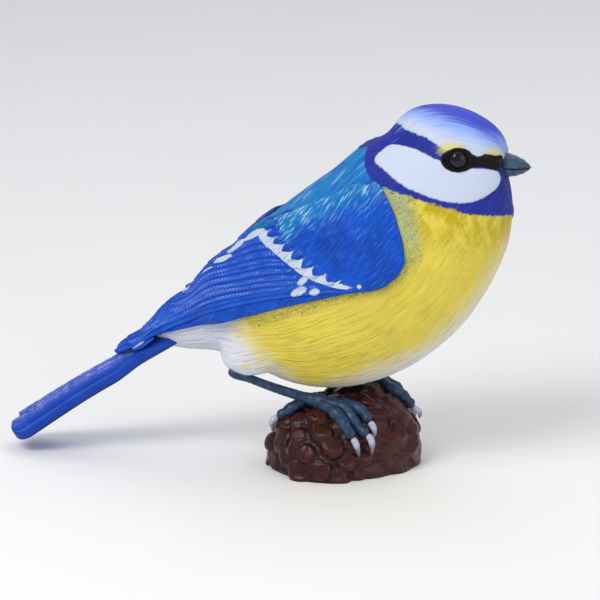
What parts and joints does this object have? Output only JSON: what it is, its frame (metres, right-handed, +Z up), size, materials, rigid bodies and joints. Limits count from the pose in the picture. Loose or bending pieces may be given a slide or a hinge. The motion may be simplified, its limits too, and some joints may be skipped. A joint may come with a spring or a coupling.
{
  "type": "painted blue tit figurine",
  "caption": "Moulded and painted figurine of a small songbird with folded wings, crouched on a rough mound with a flat underside.",
  "frame": {"origin": "a point on the mound's flat underside, near its middle", "axes": "+X the way the bird faces, +Y the bird's left side, +Z up"},
  "size_m": [0.1112, 0.0394, 0.078],
  "materials": {
    "body_paint": "yellow paint with fine brushed strokes over moulded plastic, satin",
    "collar_paint": "violet-blue paint, satin",
    "face_paint": "white paint, satin",
    "wing_paint": "cobalt blue paint over moulded feathers, satin",
    "slate_paint": "slate blue paint, semi-gloss",
    "claw_paint": "pale horn paint, semi-gloss",
    "eye_gloss": "black, high gloss",
    "mound_paint": "dark brown paint over moulded lumps, semi-gloss"
  },
  "bodies": {
    "root": {"torso": "body_paint", "neck": "collar_paint", "head": "face_paint", "bill_upper": "slate_paint", "bill_lower": "slate_paint", "eye_right": "eye_gloss", "eye_left": "eye_gloss", "wing_right": "wing_paint", "wing_left": "wing_paint", "tail": "wing_paint", "leg_right": "slate_paint", "leg_left": "slate_paint", "claw_right_inner": "claw_paint", "claw_right_middle": "claw_paint", "claw_right_outer": "claw_paint", "claw_right_hind": "claw_paint", "claw_left_inner": "claw_paint", "claw_left_middle": "claw_paint", "claw_left_outer": "claw_paint", "claw_left_hind": "claw_paint", "mound": "mound_paint"}
  },
  "joints": []
}
